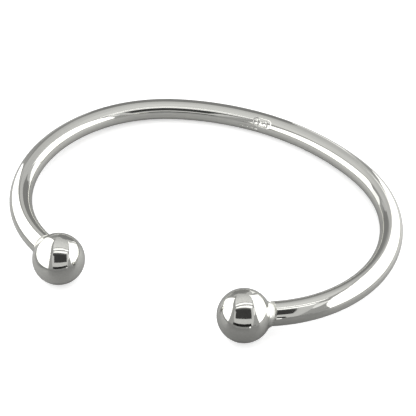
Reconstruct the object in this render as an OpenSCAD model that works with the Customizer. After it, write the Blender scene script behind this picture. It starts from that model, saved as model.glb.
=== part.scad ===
// A torque bangle: one round silver bar bent into an open oval, with a ball soldered to each end.
// It lies on its side, carried by the two balls and by the back of the bar.
// X runs across the wrist, +Y is the back of the bangle, and the opening faces -Y.
// The origin is on the surface that it lies on, under the middle of its box.

/* [Inside] */
// Clear width across the inside, from bar to bar
wrist_w = 63; // [56:0.5:72]
// Clear depth, from the inside of the back to the line through the middles of the balls
wrist_d = 47.7; // [42:0.1:54]
// Clear gap between the two balls, where the wrist goes in
ball_gap = 24.4; // [18:0.1:31]

/* [Bar] */
// Diameter of the round bar
bar_d = 4; // [3:0.1:5]

/* [Ball ends] */
// Diameter of each ball
ball_d = 8.8; // [7:0.1:11]
// Distance from the end of the bar to the ball, along the bar's axis
neck_len = 0.6; // [0.3:0.05:1.2]
// Diameter of the solder neck at its waist
waist_d = 3.4; // [2.4:0.05:3.8]
// Radius of the groove that makes the waist
groove_r = 0.7; // [0.5:0.05:1]
// Width of the rim of the bar's end that stands around the neck
rim = 0.12; // [0.05:0.01:0.25]

/* [Stamp] */
// Distance of the oval mark's middle along the bar, to the right of the back's middle
stamp_along = 3; // [-8:0.1:8]
// Turn of the oval mark round the bar, from straight up towards the inside
stamp_turn = 52; // [30:1:90]
// Length of the oval mark along the bar
stamp_len = 3.8; // [2:0.1:5]
// Width of the oval mark round the bar
stamp_w = 1.7; // [0.8:0.1:2.2]
// Depth of the marks in the bar's surface
stamp_depth = 0.12; // [0.05:0.01:0.25]
// Diameter of the pips that stand in the oval mark
pip_d = 0.5; // [0.2:0.05:0.6]
// Distance of the nicks' middle along the bar, to the right of the back's middle
nicks_along = 0.3; // [-8:0.1:8]
// Turn of the row of nicks round the bar, from straight up towards the inside
nicks_turn = 93; // [80:1:120]
// Number of nicks in the row
nick_count = 4; // [0:1:6]
// Length of each nick along the bar
nick_len = 0.7; // [0.4:0.05:1]
// Width of each nick round the bar
nick_w = 0.5; // [0.3:0.05:0.8]

/* [Hidden] */
$fn = 96;

bar_r = bar_d / 2;
ball_r = ball_d / 2;
// From the end of the bar to the middle of the ball
ball_reach = ball_r + neck_len;
// Width and depth of the middle line of the bar, and the distance between the balls' middles
line_w = wrist_w + bar_d;
line_d = wrist_d + bar_r;
balls_apart = ball_gap + ball_d;

// Each side of the bar leaves the middle of the back in three bends, each tangent to the last.
// The bangle was bent by hand, so its sides differ a little. Columns of the table, one row a side:
// -1 for the left side, 1 for the right
SIDE = 0;
// Share of the width, and of the distance between the balls, that lies on this side
SHARE = 1;
// Degrees that the flat bend of the back turns
BACK_TURN = 2;
// Degrees that the tight bend of the side turns
SIDE_TURN = 3;
// Radius of the last bend, as a share of the side bend's
END_SHARE = 4;
BENDS = [
    [-1, 0.485, 19, 94, 0.81],
    [1, 0.515, 35, 86, 1.1],
];

// Radii of the back and side bends, where the bar's end points t degrees from where it started.
// They solve two equations: the first for this side's width, the second for the depth.
function bend_radii(row, t) =
    let (
        a = row[BACK_TURN],
        b = a + row[SIDE_TURN],
        across_back = sin(a),
        across_side = 1 - sin(a),
        down_back = 1 - cos(a),
        down_side = cos(a) - cos(b) + row[END_SHARE] * (cos(b) - cos(t)),
        across = row[SHARE] * line_w,
        down = line_d - ball_reach * sin(t),
        det = across_back * down_side - across_side * down_back
    )
    [(across * down_side - down * across_side) / det, (across_back * down - down_back * across) / det];

// Direction in which the bar's end points, so that the ball comes to its place beside the gap.
// The radii depend on it a little, so it is worked out again in rounds.
function end_turn(row, t = 150, rounds = 12) =
    rounds == 0 ? t :
    let (
        a = row[BACK_TURN],
        b = a + row[SIDE_TURN],
        radii = bend_radii(row, t),
        end_r = row[END_SHARE] * radii[1],
        bends_across = radii[0] * sin(a) + radii[1] * (sin(b) - sin(a)),
        missing = row[SHARE] * balls_apart - bends_across + end_r * sin(b),
        swing = norm([end_r, ball_reach])
    )
    end_turn(row, 180 - asin(missing / swing) - atan2(ball_reach, end_r), rounds - 1);

// The three bends of a side as [turn at the start, turn at the end, radius], with the last turn
// rounded to a thousandth of a degree
function bends(row) =
    let (
        t = round(end_turn(row) * 1000) / 1000,
        radii = bend_radii(row, t),
        a = row[BACK_TURN],
        b = a + row[SIDE_TURN]
    )
    [[0, a, radii[0]], [a, b, radii[1]], [b, t, row[END_SHARE] * radii[1]]];

// Middle point of bend i of a side. Each one lies on the line through the last one's end.
function middle(list, i) =
    i == 0 ? [0, -list[0][2]] :
    let (a = list[i][0]) middle(list, i - 1) + (list[i - 1][2] - list[i][2]) * [sin(a), cos(a)];

// Everything is built flat, and then leans until the back of the bar touches the surface too
lean = asin((ball_r - bar_r) / line_d);
box_left = BENDS[0][SHARE] * line_w + bar_r;
box_right = BENDS[1][SHARE] * line_w + bar_r;
box_back = bar_r;
box_front = line_d * cos(lean) + ball_r;

// Mirrors what is drawn for the right side to the left
module on_side(row) {
    if (row[SIDE] < 0) mirror([1, 0, 0]) children();
    else children();
}

// Moves in two steps, a round one and the rest, so that the bends meet exactly face to face
module place(v) {
    coarse = [for (x = v) round(x * 1000) / 1000];
    translate(coarse) translate(v - coarse) children();
}

// Ring of the given tube radius along one bend
module bend(list, i, tube_r) {
    from = list[i][0];
    to = list[i][1];
    place(middle(list, i))
        rotate_extrude(angle = to - from, start = 90 - to)
            place([list[i][2], 0]) circle(tube_r);
}

// The bar, from neck to neck
module bar() {
    for (row = BENDS) {
        list = bends(row);
        on_side(row)
            for (i = [0 : len(list) - 1]) bend(list, i, bar_r);
    }
}

// Places what is drawn from the bar's end outwards, along +X
module at_end(row) {
    list = bends(row);
    last = list[len(list) - 1];
    turn = last[1];
    on_side(row)
        translate(middle(list, len(list) - 1) + last[2] * [sin(turn), cos(turn)])
            rotate(-turn) children();
}

// Solder neck, which starts inside the bar's end and is drawn in to a waist by a round groove.
// It leaves a narrow rim of the bar's end standing around it.
module neck() {
    rotate([0, 90, 0])
        rotate_extrude()
            difference() {
                translate([0, -bar_r]) square([bar_r - rim, bar_r + ball_reach]);
                translate([waist_d / 2 + groove_r, groove_r]) circle(groove_r);
            }
}

module ball() {
    translate([ball_reach, 0, 0]) sphere(ball_r);
}

// Places what is drawn on the XY plane on the bar's surface: X along the bar, Y round it
// and Z out of it. The marks are near the middle of the back, so they lie along its bend.
module on_bar(along, turn) {
    side = along < 0 ? 0 : 1;
    back_r = bends(BENDS[side])[0][2];
    translate([0, -back_r, 0])
        rotate(-along / back_r * 180 / PI)
            translate([0, back_r, 0])
                rotate([turn, 0, 0])
                    translate([0, 0, bar_r]) children();
}

// Oval outline: a bar with round ends
module oval(length, width) {
    square([length - width, width], center = true);
    for (x = [-1, 1]) translate([x * (length - width) / 2, 0]) circle(d = width);
}

// Plain mark on the bar: an oval field with five pips standing in it, like those on a die
module stamp_cut() {
    pip_x = stamp_len / 4;
    pip_y = stamp_w / 4;
    on_bar(stamp_along, stamp_turn)
        translate([0, 0, -bar_r / 2])
            linear_extrude(bar_r)
                difference() {
                    oval(stamp_len, stamp_w);
                    circle(d = pip_d);
                    for (x = [-1, 1], y = [-1, 1]) translate([x * pip_x, y * pip_y]) circle(d = pip_d);
                }
}

// Row of plain square nicks below the oval
module nick_cuts() {
    pitch = nick_len * 1.5;
    for (i = [0 : 1 : nick_count - 1])
        on_bar(nicks_along + (i - (nick_count - 1) / 2) * pitch, nicks_turn)
            translate([-nick_len / 2, -nick_w / 2, -bar_r / 2]) cube([nick_len, nick_w, bar_r]);
}

// Core of the back, which the marks don't reach
module core() {
    for (row = BENDS) on_side(row) bend(bends(row), 0, bar_r - stamp_depth);
}

// The bangle is one solid: the bar, two soldered balls and the marks sunk in its back
module bangle() {
    color("silver")
        translate([(box_left - box_right) / 2, (box_front - box_back) / 2, bar_r])
            rotate([-lean, 0, 0]) {
                difference() {
                    bar();
                    difference() {
                        union() {
                            stamp_cut();
                            nick_cuts();
                        }
                        core();
                    }
                }
                for (row = BENDS)
                    at_end(row) {
                        neck();
                        ball();
                    }
            }
}

bangle();
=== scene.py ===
# A polished silver torque bangle, lying on a pale floor in a small light tent.
# Lengths are in metres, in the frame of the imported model: X runs across the wrist, +Y is the back
# of the bangle, and the floor is at z = 0.
import math

import bpy
import numpy as np
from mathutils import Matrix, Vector


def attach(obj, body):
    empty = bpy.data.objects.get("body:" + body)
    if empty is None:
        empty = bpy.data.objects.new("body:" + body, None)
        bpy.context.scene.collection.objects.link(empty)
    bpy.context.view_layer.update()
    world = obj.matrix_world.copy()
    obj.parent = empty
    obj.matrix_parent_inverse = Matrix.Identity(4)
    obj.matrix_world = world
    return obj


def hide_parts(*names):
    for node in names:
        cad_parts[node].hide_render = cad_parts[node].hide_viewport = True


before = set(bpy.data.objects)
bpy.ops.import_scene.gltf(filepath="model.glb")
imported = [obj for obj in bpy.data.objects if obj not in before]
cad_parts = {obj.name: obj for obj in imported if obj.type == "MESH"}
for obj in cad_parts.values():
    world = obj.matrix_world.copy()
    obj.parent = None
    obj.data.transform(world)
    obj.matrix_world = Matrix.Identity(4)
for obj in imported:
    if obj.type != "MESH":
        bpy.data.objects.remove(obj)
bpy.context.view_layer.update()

MM = 0.001

# Driving sizes, the same as in the part's source
WRIST_W = 63 * MM       # clear width inside
WRIST_D = 47.7 * MM     # from the inside of the back to the line through the balls
BALL_GAP = 24.4 * MM    # between the two balls
BAR_D = 4 * MM
BALL_D = 8.8 * MM
NECK_LEN = 0.6 * MM     # from the end of the bar to the ball

# The three bends of each side: share of the width, degrees of the back bend and of the side bend,
# and the last bend's radius as a share of the side bend's
LEFT_BENDS = (0.485, 19, 94, 0.81)
RIGHT_BENDS = (0.515, 35, 86, 1.1)

BAR_R = BAR_D / 2
BALL_R = BALL_D / 2
BALL_REACH = BALL_R + NECK_LEN
LINE_W = WRIST_W + BAR_D
LINE_D = WRIST_D + BAR_R
BALLS_APART = BALL_GAP + BALL_D
LEAN = math.asin((BALL_R - BAR_R) / LINE_D)

# First guess of the turn at the bar's end, in degrees, and the rounds that correct it
FIRST_END_TURN = 150.0
END_TURN_ROUNDS = 12

# Step along the bar's middle line, and the smoothing of its curvature where one bend runs into the
# next, since a bar bent by hand has no joints
LINE_STEP = 0.05 * MM
BEND_BLEND = 2.5 * MM

# Dressing of the bar's ends, filed by hand, so it differs round the bar. At each end a bevel begins
# near the bar's end and runs down to a notch, and solder flares from there out to the ball.
# Each value is the middle one, how much it falls on one side, and that side's turn round the bar:
# where the bevel begins in millimetres, its slope, and the solder's radius at FLARE_AT.
LEFT_NECK = {"start": (0.53, 0, 316), "slope": (1.3, 0, 316), "flare": (1.92, 0, 316)}
RIGHT_NECK = {"start": (0.43, 0.53, 320), "slope": (1.5, -0.1, 316), "flare": (1.83, -0.23, 316)}
FLARE_SLOPE = 0.55
FLARE_AT = 0.66 * MM
# Solder fills the notch under the bar, most at this turn, where the bar runs on to FILLED_START.
# The higher the power, the narrower the filled part.
FILLED_TURN = 224
FILLED_START = 0.85 * MM
FILLED_POWER = 3
# Rounding of the bevel's edge, of the notch, and of where the flare meets the ball
BEVEL_ROUND = 0.06 * MM
NOTCH_ROUND = 0.03 * MM
FLARE_ROUND = 0.15 * MM
# The file marks, which are less polished, end here, and fade over these widths at their two sides
DRESSED_END = 0.95 * MM
DRESSED_IN = 0.06 * MM
DRESSED_OUT = 0.1 * MM

# The mark on the inside of the back, as in the part's source
STAMP_ALONG = 3 * MM
STAMP_TURN = 52
STAMP_LEN = 3.8 * MM
STAMP_W = 1.7 * MM
STAMP_DEPTH = 0.12 * MM
PIP_D = 0.5 * MM
NICKS_ALONG = 0.3 * MM
NICKS_TURN = 93
NICK_COUNT = 4
NICK_LEN = 0.7 * MM
NICK_W = 0.5 * MM
NICK_PITCH = 1.5 * NICK_LEN

# Widths of the mark's softened edges. The punch also raised a lip round the oval: its height as a
# share of the mark's depth, its distance from the oval's edge, and its width.
STAMP_EDGE = 0.14 * MM
NICK_EDGE = 0.12 * MM
LIP_HEIGHT = 0.22
LIP_AT = 0.16 * MM
LIP_W = 0.1 * MM
# How far the pips stand up again, as a share of the mark's depth
PIP_HEIGHT = 0.9

# Turns between the points of a ring, and distances between rings: fine at the mark, which lies
# within MARK_TURNS and MARK_SPAN, and coarse elsewhere
FINE_TURN = math.radians(1.6)
COARSE_TURN = math.radians(5)
MARK_TURNS = (math.radians(18), math.radians(112))
FINE_STEP = 0.07 * MM
COARSE_STEP = 0.4 * MM
MARK_SPAN = (-2.4 * MM, 5.6 * MM)
# Rings at each end of the bar as (from, to, count), measured outwards from the end, and the count
# of rings from there to the ball's pole
END_LENGTH = 1.2 * MM
END_RINGS = ((-END_LENGTH, -0.2 * MM, 16), (-0.2 * MM, 1.3 * MM, 61), (1.3 * MM, 2 * MM, 15))
BALL_RINGS = 64
# From the last ring of the bar's middle to the first one of its end
RING_GAP = 0.2 * MM

# Silver: clean and tarnished, and its tone in the fine polishing lines, with how much of it shows
CLEAN_SILVER = (0.94, 0.938, 0.89, 1)
TARNISHED_SILVER = (0.90, 0.90, 0.852, 1)
LINED_SILVER = (0.80, 0.80, 0.76, 1)
LINED_SHARE = 0.6
TARNISH_SCALE = 350
LINES_SCALE = 3000
NOISE_DETAIL = 3
# The part of the noise's range that is spread over the whole of a change
NOISE_RANGE = (0.3, 0.7)
# The polishing lines run along the bar, stretched by this much
GRAIN_STRETCH = 0.03
LINES_DEPTH = 0.0015 * MM
POLISHED_ROUGHNESS = (0.03, 0.09)
FILED_ROUGHNESS = 0.5

CAMERA_AZIMUTH = math.radians(21.94)
CAMERA_ELEVATION = math.radians(43.75)
CAMERA_TARGET = Vector((1.53, -2.82, 4.4)) * MM
CAMERA_DISTANCE = 182.4 * MM
CAMERA_LENS = 89.43
CAMERA_CLIP = (0.005, 20)

# Directions of the studio: to the right of the picture, nearer to the camera, and up
RIGHT = Vector((math.cos(CAMERA_AZIMUTH), math.sin(CAMERA_AZIMUTH), 0))
NEAR = Vector((math.sin(CAMERA_AZIMUTH), -math.cos(CAMERA_AZIMUTH), 0))
UP = Vector((0, 0, 1))

# The floors reach this far from the middle, and lie a hair below z = 0
FLOOR_REACH = 4
WHITE_FLOOR_Z = -0.00002
GREY_FLOOR_Z = -0.00001
WORLD_STRENGTH = 1.25

# Where the tent's surfaces stand, in millimetres of the studio
TENT_FAR = 300       # the dim room outside it, on every side
SOFTBOX_LEFT = -53
SOFTBOX_RIGHT = 60
ROOF = 86
BACK = -110
FOOT = 80            # the foot of the front
FRONT_REACH = 80     # from the camera's target to the sloping front
# Panels that lie on one another are one or a few of these steps apart
LAYER = 0.1
SOFTBOX_GLOW = 1.6


def bend_radii(bends, end_turn):
    """Radii of the back and side bends, from the side's width and depth."""
    share, back_turn, side_turn, end_share = bends
    a = math.radians(back_turn)
    b = math.radians(back_turn + side_turn)
    t = math.radians(end_turn)
    across = [math.sin(a), 1 - math.sin(a)]
    down = [1 - math.cos(a), math.cos(a) - math.cos(b) + end_share * (math.cos(b) - math.cos(t))]
    return np.linalg.solve([across, down], [share * LINE_W, LINE_D - BALL_REACH * math.sin(t)])


def solved_bends(bends):
    """The bends of a side as (turn at the start, turn at the end, radius), in radians and metres."""
    share, back_turn, side_turn, end_share = bends
    a = math.radians(back_turn)
    b = math.radians(back_turn + side_turn)
    end_turn = FIRST_END_TURN
    for _ in range(END_TURN_ROUNDS):
        back_r, side_r = bend_radii(bends, end_turn)
        end_r = end_share * side_r
        bends_across = back_r * math.sin(a) + side_r * (math.sin(b) - math.sin(a))
        missing = share * BALLS_APART - bends_across + end_r * math.sin(b)
        swing = math.hypot(end_r, BALL_REACH)
        end_turn = 180 - math.degrees(math.asin(missing / swing) + math.atan2(BALL_REACH, end_r))
    back_r, side_r = bend_radii(bends, end_turn)
    return [(0, a, back_r), (a, b, side_r), (b, math.radians(end_turn), end_share * side_r)]


def side_line(bends):
    """Distances from the middle of the back, the curvature there, and the bar's true end and heading."""
    solved = solved_bends(bends)
    lengths = [(to - start) * radius for start, to, radius in solved]
    along = np.linspace(0, sum(lengths), int(sum(lengths) / LINE_STEP) + 1)
    ends = np.cumsum(lengths)
    last = len(solved) - 1
    curvature = np.array([1 / solved[min(np.searchsorted(ends, s), last)][2] for s in along])
    x = 0.0
    y = 0.0
    for start, to, radius in solved:
        x += radius * (math.sin(to) - math.sin(start))
        y -= radius * (math.cos(start) - math.cos(to))
    return along, curvature, (x, y), solved[last][1]


def smoothed(values, width):
    """Values averaged with a bell of the given width, in samples, with the ends held."""
    reach = int(width * 4)
    bell = np.exp(-0.5 * (np.arange(-reach, reach + 1) / width) ** 2)
    padded = np.concatenate([np.full(reach, values[0]), values, np.full(reach, values[-1])])
    return np.convolve(padded, bell / bell.sum(), "valid")


def centre_line():
    """The bar's middle line, drawn flat: distances, points and headings, from the left end to the right."""
    left_along, left_curve, left_end, left_turn = side_line(LEFT_BENDS)
    right_along, right_curve, right_end, right_turn = side_line(RIGHT_BENDS)
    along = np.concatenate([-left_along[:0:-1], right_along])
    curvature = np.concatenate([left_curve[:0:-1], right_curve])
    curvature = smoothed(curvature, BEND_BLEND / LINE_STEP)

    def summed(values):
        """The running sum of the values along the line, which is 0 at the middle of the back."""
        steps = np.diff(along) * (values[1:] + values[:-1]) / 2
        total = np.concatenate([[0], np.cumsum(steps)])
        return total - np.interp(0, along, total)

    heading = summed(curvature)
    # The smoothing moves the ends by a few hundredths of a millimetre, which is taken back evenly
    for turn, reach in ((-left_turn, -left_along[-1]), (right_turn, right_along[-1])):
        side = along * np.sign(reach) > 0
        missing = turn - heading[-1 if reach > 0 else 0]
        heading[side] += missing * along[side] / reach
    points = np.column_stack([summed(np.cos(heading)), -summed(np.sin(heading))])
    for end, reach in (((-left_end[0], left_end[1]), -left_along[-1]), (right_end, right_along[-1])):
        side = along * np.sign(reach) > 0
        missing = np.array(end) - points[-1 if reach > 0 else 0]
        share = along[side] / reach
        points[side] += (share ** 2 * (3 - 2 * share))[:, None] * missing
    return along, points, heading


def step_down(distance, width):
    """1 well inside a shape, 0 well outside, turning smoothly over the given width at its edge."""
    t = np.clip(0.5 - distance / width, 0, 1)
    return t * t * (3 - 2 * t)


def oval_distance(u, v, length, width):
    """Distance outside an oval with round ends, negative inside."""
    straight = (length - width) / 2
    return np.hypot(np.maximum(np.abs(u) - straight, 0), v) - width / 2


def mark_depth(along, turn):
    """How deep the mark sinks the bar's surface, from the distance along it and the turn round it."""
    u = along - STAMP_ALONG
    v = (turn - math.radians(STAMP_TURN)) * BAR_R
    edge = oval_distance(u, v, STAMP_LEN, STAMP_W)
    depth = step_down(edge, STAMP_EDGE)
    pips = np.zeros_like(depth)
    for x, y in ((0, 0), (-1, -1), (-1, 1), (1, -1), (1, 1)):
        off = np.hypot(u - x * STAMP_LEN / 4, v - y * STAMP_W / 4) - PIP_D / 2
        pips = np.maximum(pips, step_down(off, STAMP_EDGE))
    lip = LIP_HEIGHT * np.exp(-((edge - LIP_AT) / LIP_W) ** 2)
    depth = depth * (1 - PIP_HEIGHT * pips) - lip
    for i in range(NICK_COUNT):
        u = along - NICKS_ALONG - (i - (NICK_COUNT - 1) / 2) * NICK_PITCH
        v = (turn - math.radians(NICKS_TURN)) * BAR_R
        off = np.maximum(np.abs(u) - NICK_LEN / 2, np.abs(v) - NICK_W / 2)
        depth = np.maximum(depth, step_down(off, NICK_EDGE))
    return depth * STAMP_DEPTH


def smooth_least(a, b, width):
    """The lower of a and b, rounded off where they cross."""
    near = np.maximum(width - np.abs(a - b), 0) / width
    return np.minimum(a, b) - near * near * width / 4


def end_radius(x, turn, neck):
    """Radius of the surface x beyond the bar's end, at that turn round it, and how much it is filed."""
    values = {}
    for name, (middle, fall, fall_turn) in neck.items():
        values[name] = middle - fall * np.cos(turn - math.radians(fall_turn))
    filled = (0.5 + 0.5 * np.cos(turn - math.radians(FILLED_TURN))) ** FILLED_POWER
    start = values["start"] * MM
    start = start + (FILLED_START - start) * filled
    flare_r = values["flare"] * MM
    flare_r = flare_r + (BAR_R - flare_r) * filled
    bevel = BAR_R - (x - start) * values["slope"]
    bar = smooth_least(np.full_like(bevel, BAR_R), bevel, BEVEL_ROUND)
    flare = flare_r + (x - FLARE_AT) * FLARE_SLOPE
    ball = np.sqrt(np.maximum(BALL_R ** 2 - (BALL_REACH - x) ** 2, 0)) + np.zeros_like(bevel)
    solder = -smooth_least(-flare, -ball, FLARE_ROUND)
    dressed = step_down(start - x, DRESSED_IN) * step_down(x - DRESSED_END, DRESSED_OUT) * (1 - filled)
    return -smooth_least(-bar, -solder, NOTCH_ROUND), dressed


def spread(start, to, fine, coarse, fine_span):
    """Values from start up to, but not including, to, with fine steps within a span, else coarse ones."""
    low, high = fine_span
    values = []
    value = start
    while value < to:
        values.append(value)
        value += fine if low <= value < high else coarse
    return np.array(values, dtype=float)


def add_object(name, points, faces):
    """A new mesh object at the origin, in the scene."""
    mesh = bpy.data.meshes.new(name)
    mesh.from_pydata(points, [], faces)
    obj = bpy.data.objects.new(name, mesh)
    bpy.context.scene.collection.objects.link(obj)
    return obj


def build_bangle():
    """The whole bangle as one closed skin of rings, from the left ball's pole to the right one's."""
    along, points, heading = centre_line()
    turns = spread(0, 2 * math.pi, FINE_TURN, COARSE_TURN, MARK_TURNS)

    def ring(place, direction, radius, shift=0.0, length=0.0, dressed=0.0):
        """One ring: the flat place of its middle, the bar's heading there and a radius for each turn.

        Its columns are the place, the place in the grain of the polish, and how much it is filed."""
        tangent = np.array([math.cos(direction), -math.sin(direction), 0])
        inward = np.array([-math.sin(direction), -math.cos(direction), 0])
        up = np.array([0, 0, 1])
        middle = np.array([place[0], place[1], 0]) + shift * tangent
        radius = np.broadcast_to(radius, turns.shape)
        high = radius * np.cos(turns)
        deep = radius * np.sin(turns)
        skin = middle + high[:, None] * up + deep[:, None] * inward
        grain = np.column_stack([high, deep, np.full_like(turns, length)])
        return np.column_stack([skin, grain, np.broadcast_to(dressed, turns.shape)])

    def bar_ring(s, radius, dressed=0.0):
        """A ring round the bent line, at a distance along it."""
        place = [np.interp(s, along, points[:, 0]), np.interp(s, along, points[:, 1])]
        heading_there = np.interp(s, along, heading)
        return ring(place, heading_there, radius, length=GRAIN_STRETCH * s, dressed=dressed)

    def end_rings(end, neck):
        """Rings from just inside the bar's end out over the ball, and the pole that closes it."""
        side = math.copysign(1, along[end])
        direction = heading[end]
        length = GRAIN_STRETCH * along[end]
        built = []
        stretches = [np.linspace(start, to, count)[:-1] for start, to, count in END_RINGS]
        neck_end = END_RINGS[-1][1]
        for x in np.concatenate(stretches + [[neck_end]]):
            radius, dressed = end_radius(x, turns, neck)
            if x < 0:
                built.append(bar_ring(along[end] + side * x, radius, dressed))
            else:
                built.append(ring(points[end], direction, radius, side * x, length + side * x, dressed))
        start = math.acos((BALL_REACH - neck_end) / BALL_R)
        for angle in np.linspace(start, math.pi, BALL_RINGS)[1:-1]:
            shift = side * (BALL_REACH - BALL_R * math.cos(angle))
            built.append(ring(points[end], direction, BALL_R * math.sin(angle), shift, length + shift))
        reach = side * (BALL_REACH + BALL_R)
        pole = ring(points[end], direction, 0.0, reach, length + reach)[0]
        return built, pole

    left_rings, left_pole = end_rings(0, LEFT_NECK)
    right_rings, right_pole = end_rings(-1, RIGHT_NECK)
    margin = END_LENGTH + RING_GAP
    stations = spread(along[0] + margin, along[-1] - margin, FINE_STEP, COARSE_STEP, MARK_SPAN)
    middle_rings = [bar_ring(s, BAR_R - mark_depth(s, turns)) for s in stations]
    rings = np.array(left_rings[::-1] + middle_rings + right_rings)

    count, columns = rings.shape[:2]
    flat = np.concatenate([rings.reshape(-1, rings.shape[2]), [left_pole, right_pole]])
    # Leaned until the back touches the floor too, and set over the origin
    lean = np.array([[1, 0, 0],
                     [0, math.cos(LEAN), math.sin(LEAN)],
                     [0, -math.sin(LEAN), math.cos(LEAN)]])
    box_front = LINE_D * math.cos(LEAN) + BALL_R
    middle = [(LEFT_BENDS[0] - RIGHT_BENDS[0]) * LINE_W / 2, (box_front - BAR_R) / 2, BAR_R]
    vertices = flat[:, :3] @ lean.T + middle

    index = np.arange(count * columns).reshape(count, columns)
    following = np.roll(index, -1, axis=1)
    quads = np.stack([index[:-1], following[:-1], following[1:], index[1:]], -1).reshape(-1, 4)
    faces = quads.tolist()
    left_index = count * columns
    right_index = left_index + 1
    for j in range(columns):
        faces.append([left_index, int(following[0, j]), int(index[0, j])])
        faces.append([right_index, int(index[-1, j]), int(following[-1, j])])
    piece = add_object("bangle_skin", vertices.tolist(), faces)
    mesh = piece.data
    mesh.polygons.foreach_set("use_smooth", [True] * len(faces))
    mesh.attributes.new("grain", "FLOAT_VECTOR", "POINT").data.foreach_set("vector", flat[:, 3:6].ravel())
    mesh.attributes.new("dressed", "FLOAT", "POINT").data.foreach_set("value", flat[:, 6].copy())
    mesh.update()
    return piece


def shaded(name, values):
    """A material, with the given values on its shader's own sockets."""
    material = bpy.data.materials.new(name)
    material.use_nodes = True
    shader = material.node_tree.nodes["Principled BSDF"]
    for socket, value in values.items():
        shader.inputs[socket].default_value = value
    return material


def silver():
    """Polished silver: a clean mirror with fine polishing lines, and file marks at the necks."""
    material = shaded("polished_silver_worn", {"Metallic": 1.0})
    nodes = material.node_tree.nodes
    links = material.node_tree.links
    shader = nodes["Principled BSDF"]

    def attribute(name):
        """A node that reads a named value of the mesh."""
        node = nodes.new("ShaderNodeAttribute")
        node.attribute_name = name
        return node

    place = nodes.new("ShaderNodeTexCoord").outputs["Object"]
    grain = attribute("grain").outputs["Vector"]
    dressed = attribute("dressed").outputs["Fac"]

    def noise(vector, scale, name):
        """Soft noise, as a number from 0 to 1."""
        node = nodes.new("ShaderNodeTexNoise")
        node.name = name
        node.inputs["Scale"].default_value = scale
        node.inputs["Detail"].default_value = NOISE_DETAIL
        links.new(vector, node.inputs["Vector"])
        return node.outputs["Fac"]

    def between(source, low, high):
        """A number from low to high, as the noise goes through its usual range."""
        node = nodes.new("ShaderNodeMapRange")
        node.inputs["From Min"].default_value = NOISE_RANGE[0]
        node.inputs["From Max"].default_value = NOISE_RANGE[1]
        node.inputs["To Min"].default_value = low
        node.inputs["To Max"].default_value = high
        links.new(source, node.inputs["Value"])
        return node.outputs["Result"]

    def mixed(factor, low, high):
        """A mix of two numbers or two colours."""
        node = nodes.new("ShaderNodeMix")
        node.data_type = "RGBA" if isinstance(high, tuple) else "FLOAT"
        sockets = {socket.name: socket for socket in node.inputs if socket.enabled}
        for name, value in (("A", low), ("B", high)):
            if isinstance(value, bpy.types.NodeSocket):
                links.new(value, sockets[name])
            else:
                sockets[name].default_value = value
        links.new(factor, sockets["Factor"])
        return [socket for socket in node.outputs if socket.enabled][0]

    lines = noise(grain, LINES_SCALE, "polishing_lines")
    tarnish = between(noise(place, TARNISH_SCALE, "tarnish"), 0, 1)
    tone = mixed(tarnish, TARNISHED_SILVER, CLEAN_SILVER)
    tone = mixed(between(lines, LINED_SHARE, 0), tone, LINED_SILVER)
    links.new(tone, shader.inputs["Base Color"])
    polish = between(lines, *POLISHED_ROUGHNESS)
    links.new(mixed(dressed, polish, FILED_ROUGHNESS), shader.inputs["Roughness"])
    bump = nodes.new("ShaderNodeBump")
    bump.inputs["Strength"].default_value = 1.0
    bump.inputs["Distance"].default_value = LINES_DEPTH
    links.new(lines, bump.inputs["Height"])
    links.new(bump.outputs["Normal"], shader.inputs["Normal"])
    return material


def studio_point(right, near, up):
    """A point of the studio: right of the middle, nearer to the camera and up, in millimetres."""
    return (right * RIGHT + near * NEAR + up * UP) * MM


def front_point(right, rise, depth):
    """A point of the tent's sloping front, which stands square to the camera's view."""
    reach = FRONT_REACH - depth
    near = reach * math.cos(CAMERA_ELEVATION) - rise * math.sin(CAMERA_ELEVATION)
    up = reach * math.sin(CAMERA_ELEVATION) + rise * math.cos(CAMERA_ELEVATION)
    return CAMERA_TARGET + studio_point(right, near, up)


def rectangle(left, low, right, high):
    """Corners of an upright rectangle, as points of an outline."""
    return (left, low), (right, low), (right, high), (left, high)


def glow(name, strength):
    """A material that glows evenly."""
    material = bpy.data.materials.new(name)
    material.use_nodes = True
    nodes = material.node_tree.nodes
    nodes.clear()
    emission = nodes.new("ShaderNodeEmission")
    emission.inputs["Strength"].default_value = strength
    output = nodes.new("ShaderNodeOutputMaterial")
    material.node_tree.links.new(emission.outputs[0], output.inputs["Surface"])
    return material


def ramp(material, direction, start, to, low, high):
    """A number that runs from low to high across the studio, in millimetres along a direction."""
    nodes = material.node_tree.nodes
    links = material.node_tree.links
    along = nodes.new("ShaderNodeVectorMath")
    along.operation = "DOT_PRODUCT"
    along.inputs[1].default_value = direction
    links.new(nodes.new("ShaderNodeTexCoord").outputs["Object"], along.inputs[0])
    change = nodes.new("ShaderNodeMapRange")
    change.interpolation_type = "SMOOTHSTEP"
    change.inputs["From Min"].default_value = start * MM
    change.inputs["From Max"].default_value = to * MM
    change.inputs["To Min"].default_value = low
    change.inputs["To Max"].default_value = high
    links.new(along.outputs["Value"], change.inputs["Value"])
    return change.outputs["Result"]


def only_mirrored(obj):
    """Keeps a surface of the studio out of everything but its mirror image in the metal."""
    obj.visible_camera = False
    obj.visible_diffuse = False
    obj.visible_shadow = False
    obj.visible_transmission = False
    obj.visible_volume_scatter = False


def panel(name, points, strength, faces=None):
    """A glowing surface of the tent that only the metal mirrors."""
    obj = add_object(name, points, faces or [tuple(range(len(points)))])
    obj.data.materials.append(glow(name, strength))
    only_mirrored(obj)
    return obj


def side_panel(name, right, outline, strength=1.0):
    """A panel beside the bangle, from its outline as (near, up)."""
    return panel(name, [studio_point(right, near, up) for near, up in outline], strength)


def cross_panel(name, near, outline, strength):
    """An upright panel across the studio, from its outline as (right, up)."""
    return panel(name, [studio_point(right, near, up) for right, up in outline], strength)


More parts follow.
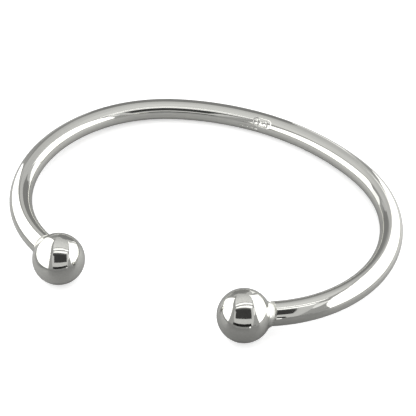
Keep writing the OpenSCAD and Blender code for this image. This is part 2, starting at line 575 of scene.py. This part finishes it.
def roof_panel(name, up, outline, strength=1.0):
    """A level panel over the bangle, from its outline as (right, near)."""
    return panel(name, [studio_point(right, near, up) for right, near in outline], strength)


def front_panel(name, depth, outline, strength):
    """A panel on the tent's sloping front, from its outline as (right, rise)."""
    return panel(name, [front_point(right, rise, depth) for right, rise in outline], strength)


def fade(obj, direction, start, to, low, high):
    """Makes a panel's glow run from low to high along a direction."""
    material = obj.data.materials[0]
    strength = material.node_tree.nodes["Emission"].inputs["Strength"]
    material.node_tree.links.new(ramp(material, direction, start, to, low, high), strength)


def add_floor(name, z, material):
    """A large level floor."""
    points = [(x, y, z) for x, y in rectangle(-FLOOR_REACH, -FLOOR_REACH, FLOOR_REACH, FLOOR_REACH)]
    obj = add_object(name, points, [(0, 1, 2, 3)])
    obj.data.materials.append(material)
    return obj


def add_floors():
    """The white floor that the camera sees, and the grey one that the metal mirrors."""
    white = shaded("floor_white", {
        "Base Color": (0.9, 0.9, 0.9, 1),
        "Roughness": 1.0,
        "Specular IOR Level": 0.0,
        "Emission Color": (1, 1, 1, 1),
        "Emission Strength": 0.4,
    })
    add_floor("floor", WHITE_FLOOR_Z, white).visible_glossy = False

    # Darker towards the camera, where the front shades it, and lighter beside the right softbox
    grey = shaded("floor_grey", {"Roughness": 0.45, "Specular IOR Level": 1.0})
    nodes = grey.node_tree.nodes
    links = grey.node_tree.links
    brightness = nodes.new("ShaderNodeMath")
    brightness.operation = "MULTIPLY"
    links.new(ramp(grey, NEAR, 2, 34, 0.29, 0.175), brightness.inputs[0])
    links.new(ramp(grey, RIGHT, 34, 46, 1.0, 1.6), brightness.inputs[1])
    links.new(brightness.outputs[0], nodes["Principled BSDF"].inputs["Base Color"])
    only_mirrored(add_floor("floor_mirrored", GREY_FLOOR_Z, grey))


def add_sides():
    """The dim room outside the tent, and the softboxes and lit corners at its sides."""
    square = rectangle(-TENT_FAR, -TENT_FAR, TENT_FAR, TENT_FAR)
    corners = [studio_point(right, near, up) for up in (-1, TENT_FAR) for right, near in square]
    walls = [(0, 1, 5, 4), (1, 2, 6, 5), (2, 3, 7, 6), (3, 0, 4, 7), (4, 5, 6, 7)]
    panel("tent_far", corners, 0.33, walls)

    left = (-38, 4), (56, 4), (56, 22), (50, 38), (40, 53), (24, 64), (0, 70), (-50, 81), (-58, 79)
    side_panel("softbox_left", SOFTBOX_LEFT, left, SOFTBOX_GLOW)
    right = (-52, 4), (62, 3), (61, 25), (54, 45), (40, 62), (20, 77), (0, 84), (-60, 92), (-100, 88)
    side_panel("softbox_right", SOFTBOX_RIGHT, right, SOFTBOX_GLOW)
    # Light that spills over the near end of the right softbox, and fades upwards
    flap = (58, 52), (70, 52), (75, 75), (55, 105), (34, 110), (34, 67), (40, 62)
    spill = side_panel("softbox_right_flap", SOFTBOX_RIGHT + 5 * LAYER, flap)
    fade(spill, UP, 66, 98, 0.88, 0.5)

    corner_right = (93, 0), (210, 0), (210, 160), (130, 140), (100, 105), (93, 80)
    cross_panel("corner_right", BACK - 30, corner_right, 1.3)
    corner_left = (-215, 0), (-104, 0), (-98, 60), (-98, 78), (-150, 100), (-215, 110)
    cross_panel("corner_left", BACK + 4 * LAYER, corner_left, 1.1)


def add_roof():
    """The roof, brighter towards the camera, where two bright bands run across it at a small slope."""
    fade(roof_panel("roof", ROOF, rectangle(-48, BACK, 53, 24)), NEAR, -115, 20, 0.50, 0.72)
    left = -46
    right = 55
    slope = -0.09
    for name, layer, back, near, strength in (
            ("band_gap", 2, 6, 40, 0.3),
            ("band_back", 4, 10, 21.5, 1.3),
            ("band_front", 4, 29, 43, 1.3)):
        level = rectangle(left, back, right, near)
        outline = [(x, y + slope * x) for x, y in level]
        roof_panel(name, ROOF - layer * LAYER, outline, strength)
    # Light along the roof's right edge, and the dark seam beside it
    wedge = (40, -103), (60, -103), (60, -10)
    roof_panel("roof_wedge", ROOF - LAYER, wedge, 1.3)
    seam = (37, -103), (40, -103), (60, -10), (57, -10)
    roof_panel("roof_seam", ROOF - 2 * LAYER, seam, 0.25)


def add_back():
    """The grey back, with darker and lighter parts, and the dark foot that stands before it."""
    cross_panel("back", BACK, rectangle(-73, 0, 66, ROOF), 0.5)
    shade = (-8, 40), (24, 30), (28, 60), (23, 84), (-8, 84)
    cross_panel("back_shade", BACK + 3 * LAYER, shade, 0.33)
    cross_panel("back_left", BACK + 5 * LAYER, rectangle(-73, 14, -32, 66), 0.28)
    bright = (22, 0), (60, 0), (60, 50), (52, 30), (40, 14), (22, 12)
    cross_panel("back_right", BACK + 2 * LAYER, bright, 1.0)
    dark = (-34, 0), (28, 0), (28, 28), (22, 37), (15, 45), (8, 58), (-10, 58), (-20, 50), (-34, 38)
    cross_panel("back_dark", BACK + 35, dark, 0.22)


def add_front():
    """The sloping front with the dark opening that the camera looks through, and the foot below it."""
    front_panel("front", 0, rectangle(-52, -74, 56, 31), 0.55)
    rim = (-39, -26), (40, -26), (40, 29), (-50, 29), (-48, 20), (-39, 8)
    front_panel("front_opening_rim", 3 * LAYER, rim, 0.16)
    opening = (-39, -26), (40, -26), (40, 21), (-48, 21), (-47, 15), (-39, 8)
    front_panel("front_opening", 6 * LAYER, opening, 0.045)
    cross_panel("front_foot", FOOT, rectangle(-52, 0, 56, 7), 0.25)
    cross_panel("front_lamp", FOOT - 2 * LAYER, rectangle(23.5, 0.5, 28, 6), SOFTBOX_GLOW)
    cross_panel("front_slot", FOOT, rectangle(-44, 7, 32, 18), 0.015)


def add_camera():
    """The camera, at the photograph's angle."""
    level = math.cos(CAMERA_ELEVATION) * NEAR
    back = level + math.sin(CAMERA_ELEVATION) * UP
    data = bpy.data.cameras.new("camera")
    data.lens = CAMERA_LENS
    data.clip_start, data.clip_end = CAMERA_CLIP
    camera = bpy.data.objects.new("camera", data)
    camera.location = CAMERA_TARGET + back * CAMERA_DISTANCE
    camera.rotation_euler = (-back).to_track_quat("-Z", "Y").to_euler()
    bpy.context.scene.collection.objects.link(camera)
    bpy.context.scene.camera = camera


def add_world():
    """Even white light, which reaches the floor alone: the metal mirrors the tent instead."""
    world = bpy.data.worlds.new("world")
    bpy.context.scene.world = world
    world.use_nodes = True
    background = world.node_tree.nodes["Background"]
    background.inputs["Color"].default_value = (1, 1, 1, 1)
    background.inputs["Strength"].default_value = WORLD_STRENGTH


bangle = build_bangle()
bangle.data.materials.append(silver())
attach(bangle, "root")
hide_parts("bangle")

add_camera()
add_floors()
add_world()
add_sides()
add_roof()
add_back()
add_front()

view_settings = bpy.context.scene.view_settings
view_settings.view_transform = "Standard"
view_settings.look = "None"
